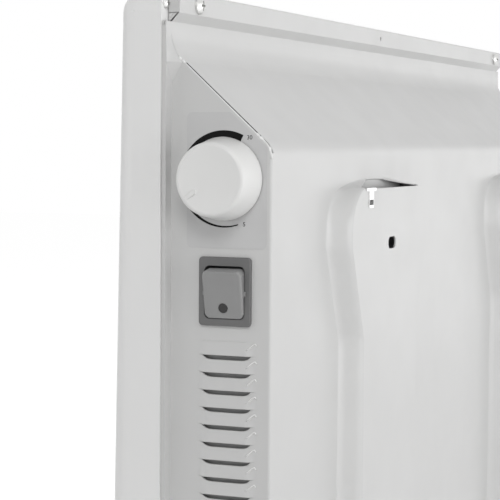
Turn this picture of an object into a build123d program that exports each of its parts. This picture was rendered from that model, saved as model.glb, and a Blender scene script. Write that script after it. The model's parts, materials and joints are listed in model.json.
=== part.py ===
from build123d import *

import os
from math import cos, pi, radians, sin, tan

os.makedirs("parts", exist_ok=True)

# Wall panel convector heater. Millimetres. X runs along the wall, to the right as seen from the
# room, +Y points into the wall and +Z up. The origin is in the wall plane, at the centre of the
# four hanging slots. Depths are measured forward from the outer face of the rear panel.

# Whole heater
casing_width = 564.0
height = 395.5
wall_standoff = 10.0
casing_sheet = 0.8
cover_sheet = 1.0
flat_gap = 0.3
running_gap = 0.05

# Section of the rear casing
flange_depth = 48.5
slope_drop = 69.9
slope_angle = 42.0
slope_bend = 10.0
flange_bend = 18.4
side_bend = 1.2
side_lip = 5.7
lip_flare = 5.0
band_height = 12.6
joggle = 3.8
seam_gap = 2.2
seam_depth = 1.1
seam_drop = 2.0
rim_height = 3.6
rim_gap = 1.5
gusset_drop = 11.0
shoulder_step = 0.1
shoulder_edge = 0.2
flange_drop = 0.7
mount_screw_drop = 5.5

# Front cover
cover_overhang = 7.0
cover_rear_depth = 50.5
cover_top_depth = 22.0
cover_lean = 1.05
cover_radius = 9.5
return_width = 9.5
tab_width = 15.0
tab_height = 14.0
corner_screw_drop = 5.7
corner_screw_reach = 2.4

# Outlet and inlet slots
outlet_columns = 10
outlet_rows = 5
outlet_slot_length = 44.0
outlet_slot_width = 4.0
outlet_pitch_x = 50.0
outlet_pitch_z = 8.0
outlet_top_drop = 22.0
inlet_columns = 7
inlet_rows = 2
inlet_slot_length = 40.0
inlet_slot_width = 5.0
inlet_pitch_x = 52.0
inlet_pitch = 12.0

# Raised wall channels
channel_x = 142.0
channel_head_half = 70.5
channel_shaft_half = 52.4
channel_top_drop = 18.75
channel_neck_high = 28.4
channel_neck_low = 74.3
channel_bottom = -140.0
channel_side_run = 10.0
channel_end_run = 7.5
channel_shoulder = 4.2
channel_arch = 8.8
channel_flat_arch = 0.5
channel_corner = 16.0
channel_top_corner = 22.0
channel_levels = 5
channel_skin = 0.5
mouth_half_width = 43.0
mouth_inner_half = 13.0
mouth_floor_drop = 1.0
mouth_height = 6.0

# Hanging slots
hanger_slot_length = 12.0
hanger_slot_width = 6.0
hanger_rise = 80.0

# Hanger clips
clip_offset = 34.4
clip_bar_width = 14.8
clip_bar_height = 1.1
clip_stem_width = 6.6
clip_stem_height = 9.4
clip_slot_width = 5.6
clip_slot_height = 2.6
clip_slot_drop = 5.4
clip_sheet = 0.5
clip_hook = 4.0

# Louvres of the control compartment
louvre_count = 16
louvre_pitch = 7.86
louvre_length = 28.5
louvre_depth = 21.0
louvre_drop = 92.0
louvre_rise = 6.2
louvre_stand = 1.3
louvre_end = 5.0
louvre_skin = 0.45
louvre_feather = 0.15
slit_height = 2.1

# Thermostat, its dial and its knob
dial_depth = 22.65
dial_drop = 13.6
collar_radius = 5.5
shaft_radius = 3.0
shaft_flat = 0.7
flat_start = 2.0
shaft_stand = 13.0
shaft_bury = 9.0
thermostat_length = 28.0
thermostat_depth = 30.0
thermostat_height = 32.0
thermostat_corner = 2.0
thermostat_screw_spacing = 22.0
knob_radius = 18.5
knob_face_radius = 16.45
knob_height = 15.75
knob_wall = 2.0
knob_edge = 1.9
knob_dish = 0.9
knob_gap = 0.5
hub_start = 1.5
knob_hub_radius = 5.5
pointer_angle = 217.0
pointer_length = 6.6
pointer_width = 2.4
pointer_height = 1.2
pointer_sink = 0.3
pointer_taper = 12.0
label_sheet = 0.15
label_front = 40.6
label_rear = 2.0
label_top = 15.9
label_bottom = 44.4
label_margin = 1.2
label_corner = 2.5
label_hole = 15.0
scale_radius = 21.5
scale_thick = 3.1
scale_thin = 0.5
scale_start = 64.5
scale_end = 289.0
print_sheet = 0.08

# Rocker switch
switch_depth = 21.5
switch_drop = 63.5
bezel_width = 25.0
bezel_height = 30.7
bezel_stand = 1.8
bezel_corner = 1.8
bezel_edge = 0.6
rocker_width = 18.9
rocker_end_radius = 11.15
rocker_crown = 3.4
rocker_back = 4.0
rocker_tilt = 10.6
rocker_corner = 3.0
rocker_edge = 1.1
rocker_drop = 0.8
opening_corner = 2.4
opening_drop = 0.4
pivot_below = 1.0
trunnion_radius = 1.5
rocker_side_gap = 0.25
switch_wall = 1.2
switch_length = 22.0
switch_floor = 9.0
lens_radius = 2.2
lens_drop = 5.9
lens_proud = 0.15
lens_reach = 3.0
lamp_radius = 0.9

# Screws
screw_shank = 1.95
screw_head_radius = 4.0
screw_head_height = 2.6
screw_length = 10.0
screw_inset = 20.5
screw_hole = 2.2
pilot_hole = 1.25
small_shank = 1.4
small_head_radius = 2.4
small_head_height = 1.6
small_length = 6.0
screw_end_gap = 1.0
nut_side = 8.0
nut_sheet = 1.2
nut_hub_radius = 3.2
nut_hub_length = 3.0

# Inside
control_width = 64.0
plate_foot = 12.0
plate_front_depth = 47.0
baffle_depth = 10.0
baffle_margin = 9.0
baffle_lip = 12.0
element_depth = 29.0
element_rise = 52.0
element_end_gap = 28.0
element_arm = 17.0
element_arm_sheet = 3.0
element_spread = 35.0
element_hub = 6.5
rod_radius = 3.25
rod_overrun = 34.0
bush_radius = 6.5
bush_length = 9.0
bush_groove = 1.2
stud_radius = 1.6
stud_length = 7.0
cutout_x = 60.0
cutout_rise = 70.0
cutout_radius = 8.0
cutout_height = 7.0
cutout_edge = 0.8
cutout_plate = 30.0
cutout_foot = 1.0
cutout_rivet_offset = 11.5
cutout_rivet_radius = 1.2
rivet_radius = 1.5
rivet_head = 2.8
rivet_head_height = 0.9
block_length = 18.0
block_width = 32.0
block_height = 20.0
block_corner = 1.5
block_depth = 25.0
block_rise = 36.0
block_screw_drop = 6.5
block_screw_seat = 4.0
pole_pitch = 10.0
pole_radius = 2.2
pole_depth = 3.0
pole_sink = 0.6
pole_slot_width = 0.7
pole_slot_depth = 0.8
tag_radius = 4.0
tag_length = 13.0
tag_sheet = 0.8
earth_depth = 25.0
earth_rise = 34.0
wire_depth = 30.0
wire_drop = 68.0
wire_hole = 4.0
grommet_groove = 1.2
grommet_length = 5.0
grommet_bore = 1.6
gland_inset = 30.0
gland_bore = 4.0
gland_radius = 7.5
gland_thread = 6.0
gland_head = 5.0
gland_length = 16.0
gland_nut_radius = 9.0
gland_nut_height = 4.0
lead_radius = 1.2
lead_bend = 4.0
lead_offset = 10.0
lead_run = 14.0
lead_dip = 9.0
blade_width = 6.3
blade_sheet = 0.8
blade_length = 8.0
blade_pitch_y = 10.0
blade_pitch_z = 14.0

# Worked out from the sizes above
half_width = casing_width / 2
top_z = height / 2
bend_z = top_z - slope_drop
slope_rise = flange_depth * tan(radians(slope_angle))
corner_z = bend_z + slope_rise
band_top = corner_z + band_height
half_turn = radians(90 - slope_angle) / 2
bend_tangent = flange_bend * tan(half_turn)
bend_high_z = corner_z + bend_tangent
bend_low_depth = flange_depth - bend_tangent * cos(radians(slope_angle))
bend_low_z = corner_z - bend_tangent * sin(radians(slope_angle))
flange_top = top_z - flange_drop
screw_flange_depth = flange_depth - joggle
screw_flange_half = half_width - flat_gap
lip_edge = half_width + side_lip
screw_x = half_width - screw_inset
screw_z = top_z - mount_screw_drop
inner_x = half_width - casing_sheet
cover_half = half_width + cover_overhang
bezel_x = half_width + bezel_stand
pivot_x = bezel_x - pivot_below
label_x = half_width + label_sheet
channel_top = bend_z - channel_top_drop
clip_edge_z = channel_top - mouth_floor_drop
dial_z = bend_z - dial_drop
switch_z = bend_z - switch_drop
opening_z = switch_z - opening_drop
pivot_z = switch_z - rocker_drop
louvre_top_z = bend_z - louvre_drop
divider_x = half_width - control_width
baffle_half_height = bend_z - baffle_margin
block_z = block_rise - bend_z
earth_z = block_z + earth_rise
element_z = block_z + element_rise
cutout_z = element_z + cutout_rise
wire_z = bend_z - wire_drop
element_half_length = divider_x - element_end_gap
gland_x = half_width - gland_inset
lead_x = divider_x + lead_offset
housing_width = rocker_width + 2 * rocker_side_gap + 2 * switch_wall
rocker_opening = 2 * (rocker_end_radius + rocker_side_gap + opening_drop)
housing_height = rocker_opening + 2 * switch_wall
return_depth = screw_flange_depth + casing_sheet
tongue_half = screw_flange_half - casing_sheet - flat_gap
end_fold = cover_rear_depth - flat_gap - screw_flange_depth
corner_screw_z = top_z - corner_screw_drop
rivet_depth = baffle_depth + baffle_lip / 2
rivet_z = baffle_half_height - 2 * rivet_head


def ahead(depth):
    """Plane that faces the room, this far in front of the rear panel's outer face."""
    return Plane.XZ.offset(wall_standoff + depth)


def y_at(depth):
    """Y of a point this far in front of the rear panel's outer face."""
    return -(wall_standoff + depth)


def along_x(x, depth, z):
    """Plane at a point, facing +X, with its own x axis towards the wall."""
    return Plane(origin=(x, y_at(depth), z), x_dir=(0, 1, 0), z_dir=(1, 0, 0))


def facing_wall(x, depth, z):
    """Plane at a point, facing the wall."""
    return Plane(origin=(x, y_at(depth), z), x_dir=(-1, 0, 0), z_dir=(0, 1, 0))


def slope_plane(side, x=0.0):
    """Plane on the outside of the upper (1) or lower (-1) slope, at its middle."""
    angle = radians(slope_angle)
    middle = (x, y_at(flange_depth / 2), side * (bend_z + slope_rise / 2))
    return Plane(origin=middle, x_dir=(1, 0, 0), z_dir=(0, sin(angle), side * cos(angle)))


def tub(inset):
    """The casing's closed form, this far inside its outer face, run on past the flange."""
    front = y_at(flange_depth + lip_flare)
    with BuildPart() as form:
        with BuildSketch(Plane.YZ) as section:
            with BuildLine():
                Polyline(
                    (y_at(0), -bend_z),
                    (y_at(0), bend_z),
                    (y_at(flange_depth), corner_z),
                    (y_at(flange_depth), band_top),
                    (front, band_top),
                    (front, -band_top),
                    (y_at(flange_depth), -band_top),
                    (y_at(flange_depth), -corner_z),
                    close=True,
                )
            make_face()
            corners = section.vertices()
            fillet(corners.filter_by_position(Axis.X, y_at(1), y_at(-1)), slope_bend)
            inner_bends = section.vertices().filter_by_position(
                Axis.Y, -corner_z - 1, corner_z + 1
            )
            at_flange = inner_bends.filter_by_position(
                Axis.X, y_at(flange_depth + 1), y_at(flange_depth - 1)
            )
            fillet(at_flange, flange_bend)
            if inset:
                offset(amount=-inset)
        extrude(amount=half_width + lip_flare, both=True)
        with BuildSketch(Plane.XY) as plan:
            with BuildLine():
                Polyline(
                    (half_width, y_at(0)),
                    (half_width, y_at(flange_depth)),
                    (half_width + lip_flare, y_at(flange_depth)),
                    (half_width + lip_flare, front - lip_flare),
                    (-half_width - lip_flare, front - lip_flare),
                    (-half_width - lip_flare, y_at(flange_depth)),
                    (-half_width, y_at(flange_depth)),
                    (-half_width, y_at(0)),
                    close=True,
                )
            make_face()
            fillet(plan.vertices().filter_by_position(Axis.Y, y_at(1), y_at(-1)), side_bend)
            if inset:
                offset(amount=-inset)
        extrude(amount=height, both=True, mode=Mode.INTERSECT)
    return form.part


def channel(inset, shift):
    """One raised wall channel about X = 0, drawn in by inset and pushed forward by shift."""
    with BuildPart() as form:
        for level in range(channel_levels):
            run = level / (channel_levels - 1)
            lift = wall_standoff * (1 - cos(pi * run)) / 2
            head = channel_head_half - channel_side_run * run - inset
            shaft = channel_shaft_half - channel_side_run * run - inset
            top = channel_top - channel_shoulder * (1 - run) - channel_flat_arch - inset
            arch = channel_flat_arch + (channel_arch - channel_flat_arch) * (1 - run)
            bottom = channel_bottom + channel_end_run * run + inset
            neck_high = channel_top - channel_neck_high
            neck_low = channel_top - channel_neck_low
            with BuildSketch(ahead(shift - lift)) as outline:
                with BuildLine():
                    ThreePointArc((head, top), (0, top + arch), (-head, top))
                    Polyline(
                        (-head, top),
                        (-head, neck_high),
                        (-shaft, neck_low),
                        (-shaft, bottom),
                        (shaft, bottom),
                        (shaft, neck_low),
                        (head, neck_high),
                        (head, top),
                    )
                make_face()
                fillet(outline.vertices().sort_by(Axis.Y)[:-2], channel_corner)
                fillet(outline.vertices().sort_by(Axis.Y)[-2:], channel_top_corner)
        loft()
    return form.part


def louvre(half, end, stand, rise, behind):
    """Wedge over one slit, about the origin: it stands out at the slit and fades upward."""
    with BuildPart() as form:
        for level, reach in ((0, stand), (rise, louvre_feather)):
            with BuildSketch(Plane.XY.offset(level)):
                with BuildLine():
                    Bezier((0, half), (0, half - end / 2), (reach, half - end / 2), (reach, half - end))
                    Line((reach, half - end), (reach, end - half))
                    Bezier((reach, end - half), (reach, end / 2 - half), (0, end / 2 - half), (0, -half))
                    Polyline((0, -half), (-behind, -half), (-behind, half), (0, half))
                make_face()
        loft(ruled=True)
    return form.part


def slit():
    """Cutter for one slit: straight lip above, lower edge curved up at both ends."""
    half = (louvre_length - louvre_end) / 2
    with BuildPart() as form:
        with BuildSketch(Plane.YZ):
            with BuildLine():
                Line((-half, 0), (half, 0))
                Bezier((half, 0), (half - louvre_end / 4, -slit_height), (half - louvre_end, -slit_height))
                Line((half - louvre_end, -slit_height), (louvre_end - half, -slit_height))
                Bezier((louvre_end - half, -slit_height), (louvre_end / 4 - half, -slit_height), (-half, 0))
            make_face()
        extrude(amount=2 * casing_sheet, both=True)
    return form.part


def screw(shank, head_radius, head_height, length):
    """Pan-head screw with a cross recess, its axis on Z and its head above the XY plane."""
    recess_width = head_radius * 0.25
    recess_reach = head_radius * 1.1
    with BuildPart() as form:
        with BuildSketch(Plane.XZ):
            with BuildLine():
                Polyline((0, head_height), (0, -length), (shank * 0.3, -length))
                Line((shank * 0.3, -length), (shank, -length + shank))
                Polyline((shank, -length + shank), (shank, 0), (head_radius, 0))
                Line((head_radius, 0), (head_radius, head_height * 0.35))
                ThreePointArc(
                    (head_radius, head_height * 0.35),
                    (head_radius * 0.72, head_height * 0.82),
                    (0, head_height),
                )
            make_face()
        revolve(axis=Axis.Z)
        with BuildSketch(Plane.XY.offset(head_height * 0.4)):
            Rectangle(recess_width, recess_reach)
            Rectangle(recess_reach, recess_width)
        extrude(amount=head_height, mode=Mode.SUBTRACT)
    return form.part


def blade(plane):
    """Flat connector blade that stands out of a plane along its normal."""
    with BuildPart() as form:
        with BuildSketch(plane):
            Rectangle(blade_sheet, blade_width)
        extrude(amount=blade_length)
    return form.part


def cover_form(inset):
    """The front cover's closed form, this far inside its outer face, run on to the rear."""
    front_top = y_at(cover_rear_depth + cover_top_depth)
    front_bottom = front_top - height * tan(radians(cover_lean))
    with BuildPart() as form:
        with BuildSketch(Plane.YZ):
            with BuildLine():
                Polyline(
                    (y_at(cover_rear_depth) + lip_flare, top_z),
                    (front_top, top_z),
                    (front_bottom, -top_z),
                    (y_at(cover_rear_depth) + lip_flare, -top_z),
                    close=True,
                )
            make_face()
            if inset:
                offset(amount=-inset, kind=Kind.INTERSECTION)
        extrude(amount=cover_half - inset, both=True)
        rounded = form.faces().sort_by(Axis.Y)[0].edges() + form.edges().filter_by(Axis.Y)
        fillet(rounded, cover_radius - inset)
    return form.part


def cross_plate(x, foot_side):
    """Sheet across the casing's inside, with a foot on the rear panel and a hole for a bush."""
    seat = casing_sheet + flat_gap
    foot_edge = x + casing_sheet if foot_side < 0 else x
    foot_centre = foot_edge + foot_side * plate_foot / 2
    foot_depth = seat + casing_sheet / 2
    with BuildPart() as form:
        add(tub(seat))
        split(bisect_by=Plane.YZ.offset(x), keep=Keep.TOP)
        split(bisect_by=Plane.YZ.offset(x + casing_sheet), keep=Keep.BOTTOM)
        split(bisect_by=ahead(plate_front_depth), keep=Keep.BOTTOM)
        with Locations((foot_centre, y_at(foot_depth), 0)):
            Box(plate_foot, casing_sheet, 2 * baffle_half_height)
        with BuildSketch(along_x(x, element_depth, element_z)):
            Circle(bush_radius - bush_groove + running_gap)
        extrude(amount=casing_sheet, mode=Mode.SUBTRACT)
        with BuildSketch(Plane.YZ.offset(x)):
            with Locations(*rivet_points):
                Circle(rivet_radius + running_gap)
            with Locations((y_at(wire_depth), wire_z)):
                Circle(wire_hole)
        extrude(amount=casing_sheet, mode=Mode.SUBTRACT)
    return form.part


# Rear casing
tub_outside = tub(0)
tub_inside = tub(casing_sheet)
channel_outside = channel(0, 0)
channel_inside = channel(channel_skin, casing_sheet)
hood_outside = louvre(
    louvre_length / 2, louvre_end, louvre_stand, louvre_rise, casing_sheet / 2
)
hood_inside = louvre(
    (louvre_length - louvre_end) / 2,
    louvre_end / 2,
    louvre_stand - louvre_skin,
    louvre_rise * (1 - louvre_skin / louvre_stand),
    2 * casing_sheet,
)
louvre_places = [
    (half_width, y_at(louvre_depth), louvre_top_z - row * louvre_pitch)
    for row in range(louvre_count)
]
slit_cutter = slit()
rivet_points = [(y_at(rivet_depth), rivet_z), (y_at(rivet_depth), -rivet_z)]
fold = casing_sheet * tan(radians(22.5))
screw_places = [
    (side * screw_x, level * screw_z)
    for side in (-1, 1)
    for level in (-1, 1)
]
hanger_places = [
    (side * channel_x, level * hanger_rise)
    for side in (-1, 1)
    for level in (-1, 1)
]
clip_slot_places = [
    (side * (channel_x + clip_offset), clip_edge_z - clip_slot_drop - clip_slot_height / 2)
    for side in (-1, 1)
]
corner_places = [
    (side * (half_width + corner_screw_reach), level * corner_screw_z)
    for side in (-1, 1)
    for level in (-1, 1)
]

# Plan of the mouth that takes a hook at the top of a wall channel
mouth_straight = -casing_sheet - clip_sheet - 2 * flat_gap
with BuildSketch() as mouth:
    with BuildLine():
        Polyline(
            (-mouth_half_width, wall_standoff),
            (mouth_half_width, wall_standoff),
            (mouth_half_width, mouth_straight),
            (mouth_inner_half, y_at(0)),
            (-mouth_inner_half, y_at(0)),
            (-mouth_half_width, mouth_straight),
            close=True,
        )
    make_face()

# Ends of the large bends, a step in front of the slope: they flatten out towards the lip's
# edge, and each runs on as a gusset between the side wall and the lip
shoulder_low = (y_at(bend_low_depth + shoulder_step), bend_low_z)
shoulder_high = (y_at(flange_depth + shoulder_step), bend_high_z)
shoulder_middle = (
    shoulder_high[0] + flange_bend * (1 - cos(half_turn)),
    bend_high_z - flange_bend * sin(half_turn),
)
lip_low = (y_at(flange_depth - shoulder_edge), bend_low_z)
lip_middle = (y_at(flange_depth - shoulder_edge / 2), (bend_low_z + bend_high_z) / 2)
shoulder_back = y_at(flange_depth + casing_sheet / 2)
with BuildPart() as corner_block:
    for x, low, middle, drop in (
        (half_width - casing_sheet / 2, shoulder_low, shoulder_middle, gusset_drop),
        (lip_edge, lip_low, lip_middle, shoulder_edge),
    ):
        with BuildSketch(Plane.YZ.offset(x)):
            with BuildLine():
                ThreePointArc(low, middle, shoulder_high)
                Polyline(
                    shoulder_high,
                    (shoulder_back, bend_high_z),
                    (shoulder_back, bend_low_z - drop),
                    low,
                )
            make_face()
    loft(ruled=True)
with BuildPart() as all_corners:
    add(corner_block.part)
    mirror(about=Plane.XY)
    mirror(about=Plane.YZ)
corner_blocks = all_corners.part

with BuildPart() as rear_casing:
    add(tub_outside)
    split(bisect_by=ahead(flange_depth), keep=Keep.BOTTOM)
    with BuildSketch(ahead(flange_depth)):
        Rectangle(2 * lip_edge, 2 * band_top)
    extrude(amount=casing_sheet)
    add(corner_blocks)
    with Locations((-channel_x, 0, 0), (channel_x, 0, 0)):
        add(channel_outside)
    add(tub_inside, mode=Mode.SUBTRACT)
    with Locations((-channel_x, 0, 0), (channel_x, 0, 0)):
        add(channel_inside, mode=Mode.SUBTRACT)
    # Stepped screw flanges along the top and the bottom
    with BuildSketch(Plane.YZ) as step:
        with BuildLine():
            Polyline(
                (y_at(flange_depth), band_top),
                (y_at(screw_flange_depth), band_top + joggle),
                (y_at(screw_flange_depth), flange_top),
                (y_at(screw_flange_depth + casing_sheet), flange_top),
                (y_at(screw_flange_depth + casing_sheet), band_top + joggle + fold),
                (y_at(flange_depth + casing_sheet), band_top + fold),
                (y_at(flange_depth + casing_sheet), band_top),
                close=True,
            )
        make_face()
        mirror(about=Plane.XZ)
    extrude(amount=screw_flange_half, both=True)
    # Folds that close the ends of the screw flanges
    for side in (-1, 1):
        for level in (-1, 1):
            fold_x = side * (screw_flange_half - casing_sheet / 2)
            fold_z = level * (flange_top + band_top + joggle) / 2
            with Locations((fold_x, y_at(screw_flange_depth + end_fold / 2), fold_z)):
                Box(casing_sheet, end_fold, flange_top - band_top - joggle)
    # Rims along the edges of the side lips, folded forward inside the cover
    for side in (-1, 1):
        with Locations((side * (lip_edge - casing_sheet / 2), y_at(flange_depth + rim_height / 2), 0)):
            Box(casing_sheet, rim_height, 2 * (band_top - rim_gap))
    # Open seams between the side walls and the two slopes
    seam_height = bend_low_z - bend_z + seam_drop
    with BuildSketch(Plane.YZ.offset(inner_x - seam_gap), Plane.YZ.offset(-inner_x)) as seam:
        with BuildLine():
            Polyline(
                (y_at(0), 0),
                (y_at(0), bend_z),
                (y_at(flange_depth), corner_z),
                (y_at(flange_depth), 0),
                close=True,
            )
        make_face()
        bends = seam.vertices().filter_by_position(Axis.X, y_at(1), y_at(-1))
        fillet(bends.sort_by(Axis.Y)[-1], slope_bend)
        rim = offset(amount=-seam_depth, mode=Mode.PRIVATE)
        offset(amount=flat_gap, kind=Kind.INTERSECTION)
        add(rim, mode=Mode.SUBTRACT)
        with Locations((y_at(bend_low_depth - flange_depth / 2), bend_low_z - seam_height / 2)):
            Rectangle(flange_depth, seam_height, mode=Mode.INTERSECT)
        mirror(about=Plane.XZ)
    extrude(amount=seam_gap, mode=Mode.SUBTRACT)
    # Louvres of the control compartment
    with Locations(*louvre_places):
        add(hood_outside)
    with Locations(*louvre_places):
        add(hood_inside, mode=Mode.SUBTRACT)
        add(slit_cutter, mode=Mode.SUBTRACT)
    # Holes in the control side wall for the thermostat and the switch
    with BuildSketch(Plane.YZ.offset(inner_x)):
        with Locations((y_at(dial_depth), dial_z)):
            Circle(collar_radius + flat_gap)
            with GridLocations(0, thermostat_screw_spacing, 1, 2):
                Circle(small_shank + flat_gap)
        with Locations((y_at(switch_depth), opening_z)):
            Rectangle(housing_width + 2 * flat_gap, housing_height + 2 * flat_gap)
    extrude(amount=casing_sheet, mode=Mode.SUBTRACT)
    # Screw holes and the pilot holes between them
    with BuildSketch(ahead(screw_flange_depth)):
        with Locations(*screw_places):
            Circle(screw_hole)
        with GridLocations(0, 2 * screw_z, 1, 2):
            Circle(pilot_hole)
    extrude(amount=casing_sheet, mode=Mode.SUBTRACT)
    # Mouths at the top of the wall channels, hanging slots and the slots under the clips
    with BuildSketch(Plane.XY.offset(clip_edge_z)):
        for side in (-1, 1):
            with Locations((side * channel_x, 0)):
                add(mouth.sketch)
    extrude(amount=mouth_height, mode=Mode.SUBTRACT)
    with BuildSketch(ahead(-wall_standoff)):
        with Locations(*hanger_places):
            SlotOverall(hanger_slot_length, hanger_slot_width)
        with Locations(*clip_slot_places):
            Rectangle(clip_slot_width, clip_slot_height)
    extrude(amount=casing_sheet, mode=Mode.SUBTRACT)
    # Air inlet slots and the cord inlet in the lower slope
    with BuildSketch(slope_plane(-1)):
        with GridLocations(inlet_pitch_x, inlet_pitch, inlet_columns, inlet_rows):
            SlotOverall(inlet_slot_length, inlet_slot_width)
        with Locations((gland_x, 0)):
            Circle(gland_thread + flat_gap)
    extrude(amount=-2 * casing_sheet, mode=Mode.SUBTRACT)
rear_casing.part.label = "rear_casing"
export_step(rear_casing.part, "parts/rear_casing.step")

# Front cover
with BuildPart() as corner_tabs_block:
    with BuildSketch(ahead(cover_rear_depth)):
        for side in (-1, 1):
            for level in (-1, 1):
                with Locations(
                    (
                        side * (cover_half - tab_width / 2),
                        level * (top_z - tab_height / 2),
                    )
                ):
                    Rectangle(tab_width, tab_height)
    extrude(amount=cover_sheet)
    add(cover_form(0), mode=Mode.INTERSECT)
corner_tabs = corner_tabs_block.part

with BuildPart() as front_cover:
    add(cover_form(0))
    split(bisect_by=ahead(cover_rear_depth), keep=Keep.TOP)
    add(cover_form(cover_sheet), mode=Mode.SUBTRACT)
    # Tongues that reach back over the screw flanges, with their folded returns
    with BuildSketch(Plane.YZ) as tongue:
        with BuildLine():
            Polyline(
                (y_at(return_depth), top_z),
                (y_at(return_depth), top_z - return_width),
                (y_at(return_depth + cover_sheet), top_z - return_width),
                (y_at(return_depth + cover_sheet), top_z - cover_sheet),
                (y_at(cover_rear_depth + cover_sheet), top_z - cover_sheet),
                (y_at(cover_rear_depth + cover_sheet), top_z),
                close=True,
            )
        make_face()
        fillet(tongue.vertices().filter_by_position(Axis.X, y_at(return_depth + 0.1), 0)
               .sort_by(Axis.Y)[-1], cover_sheet * 0.9)
        mirror(about=Plane.XZ)
    extrude(amount=tongue_half, both=True)
    # Corner tabs
    add(corner_tabs)
    with BuildSketch(ahead(return_depth)):
        with Locations(*screw_places):
            Circle(screw_hole)
    extrude(amount=cover_sheet, mode=Mode.SUBTRACT)
    with BuildSketch(ahead(cover_rear_depth)):
        with Locations(*corner_places):
            Circle(small_shank + running_gap)
    extrude(amount=cover_sheet, mode=Mode.SUBTRACT)
    # Outlet grille at the top of the front
    grille_z = top_z - outlet_top_drop - (outlet_rows - 1) * outlet_pitch_z / 2
    with BuildSketch(ahead(cover_rear_depth + cover_top_depth / 2)):
        with Locations((0, grille_z)):
            with GridLocations(outlet_pitch_x, outlet_pitch_z, outlet_columns, outlet_rows):
                SlotOverall(outlet_slot_length, outlet_slot_width)
    extrude(amount=cover_top_depth, mode=Mode.SUBTRACT)
front_cover.part.label = "front_cover"
export_step(front_cover.part, "parts/front_cover.step")

# Screws and nuts that hold the cover
pan_screw = screw(screw_shank, screw_head_radius, screw_head_height, screw_length)
small_screw = screw(small_shank, small_head_radius, small_head_height, small_length)
with BuildPart() as pressed_nut:
    with BuildSketch():
        RectangleRounded(nut_side, nut_side, nut_side * 0.15)
    extrude(amount=nut_sheet)
    with BuildSketch(Plane.XY.offset(nut_sheet)):
        Circle(nut_hub_radius)
    extrude(amount=nut_hub_length)
    with BuildSketch():
        Circle(screw_shank + running_gap)
    extrude(amount=nut_sheet + nut_hub_length, mode=Mode.SUBTRACT)

for name, level in (("top", 1), ("bottom", -1)):
    with BuildPart() as cover_screws:
        with Locations(
            facing_wall(-screw_x, screw_flange_depth, level * screw_z),
            facing_wall(screw_x, screw_flange_depth, level * screw_z),
        ):
            add(pan_screw)
    cover_screws.part.label = f"cover_screws_{name}"
    export_step(cover_screws.part, f"parts/cover_screws_{name}.step")

    with BuildPart() as cover_nuts:
        nut_depth = return_depth + cover_sheet
        with Locations(
            Plane(origin=(-screw_x, y_at(nut_depth), level * screw_z), z_dir=(0, -1, 0)),
            Plane(origin=(screw_x, y_at(nut_depth), level * screw_z), z_dir=(0, -1, 0)),
        ):
            add(pressed_nut.part)
    cover_nuts.part.label = f"cover_nuts_{name}"
    export_step(cover_nuts.part, f"parts/cover_nuts_{name}.step")

with BuildPart() as corner_screws:
    with Locations(*[facing_wall(x, cover_rear_depth, z) for x, z in corner_places]):
        add(small_screw)
corner_screws.part.label = "corner_screws"
export_step(corner_screws.part, "parts/corner_screws.step")

# Spring clips hooked over the top edge of the wall channels
with BuildPart() as clip_form:
    with BuildSketch(Plane.XZ):
        with Locations((0, clip_edge_z - clip_bar_height / 2)):
            Rectangle(clip_bar_width, clip_bar_height)
        with Locations((0, clip_edge_z - clip_stem_height / 2)):
            Rectangle(clip_stem_width, clip_stem_height)
        with Locations((0, clip_edge_z - clip_slot_drop - clip_slot_height / 2)):
            Rectangle(clip_slot_width, clip_slot_height, mode=Mode.SUBTRACT)
    extrude(amount=-clip_sheet)
    with BuildSketch(Plane.YZ) as hook:
        with BuildLine():
            Polyline(
                (clip_sheet, clip_edge_z),
                (clip_sheet, clip_edge_z + clip_sheet),
                (-casing_sheet - clip_sheet, clip_edge_z + clip_sheet),
                (-casing_sheet - clip_sheet, clip_edge_z - clip_hook),
                (-casing_sheet, clip_edge_z - clip_hook),
                (-casing_sheet, clip_edge_z),
                close=True,
            )
        make_face()
        bend_corner = hook.vertices().group_by(Axis.Y)[-1].sort_by(Axis.X)[-1]
        fillet(bend_corner, clip_sheet * 0.8)
    extrude(amount=clip_bar_width / 2, both=True)

for name, side in (("right", 1), ("left", -1)):
    with BuildPart() as hanger_clip:
        with Locations((side * (channel_x + clip_offset), 0, 0)):
            add(clip_form.part)
    hanger_clip.part.label = f"hanger_clip_{name}"
    export_step(hanger_clip.part, f"parts/hanger_clip_{name}.step")

# Sticker with the dial, cut back along the slope
slope_run = 1 / tan(radians(slope_angle))
label_shift = label_margin / sin(radians(slope_angle))
label_cut_top = label_top * slope_run + label_shift
label_cut_rear = (label_rear - label_shift) / slope_run
with BuildPart() as dial_label:
    with BuildSketch(Plane.YZ.offset(half_width)) as sticker:
        with BuildLine():
            Polyline(
                (y_at(label_front), bend_z - label_bottom),
                (y_at(label_rear), bend_z - label_bottom),
                (y_at(label_rear), bend_z + label_cut_rear),
                (y_at(label_cut_top), bend_z + label_top),
                (y_at(label_front), bend_z + label_top),
                close=True,
            )
        make_face()
        fillet(sticker.vertices(), label_corner)
        with Locations((y_at(dial_depth), dial_z)):
            Circle(label_hole, mode=Mode.SUBTRACT)
    extrude(amount=label_sheet)
dial_label.part.label = "dial_label"
export_step(dial_label.part, "parts/dial_label.step")


def dial_point(radius, angle):
    """Point on the dial, at this radius and angle about the knob's axis."""
    turn = radians(angle)
    return (y_at(dial_depth) + radius * cos(turn), dial_z + radius * sin(turn))


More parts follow.
